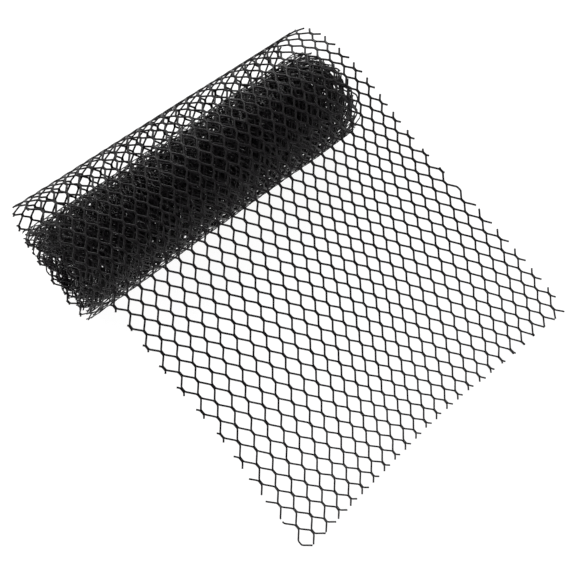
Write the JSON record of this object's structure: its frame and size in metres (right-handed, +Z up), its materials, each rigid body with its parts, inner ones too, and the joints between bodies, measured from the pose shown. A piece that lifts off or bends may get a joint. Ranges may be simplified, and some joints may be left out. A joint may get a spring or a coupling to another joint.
{
  "type": "roll of balcony safety netting",
  "caption": "Roll of black plastic netting with hexagonal mesh, partly unrolled: a springy free end rises from the floor and passes over the wound roll",
  "frame": {"origin": "centre of the bounding box on the floor that the roll lies on", "axes": "X runs along the wound roll, the free end of the net points to -Y, Z is up"},
  "size_m": [0.4322, 0.476, 0.1345],
  "materials": {
    "loose_net_plastic": "satin black moulded plastic",
    "wound_net_plastic": "satin black moulded plastic, many layers"
  },
  "bodies": {
    "root": {"loose_turn": "loose_net_plastic", "wound_roll": "wound_net_plastic"}
  },
  "joints": []
}
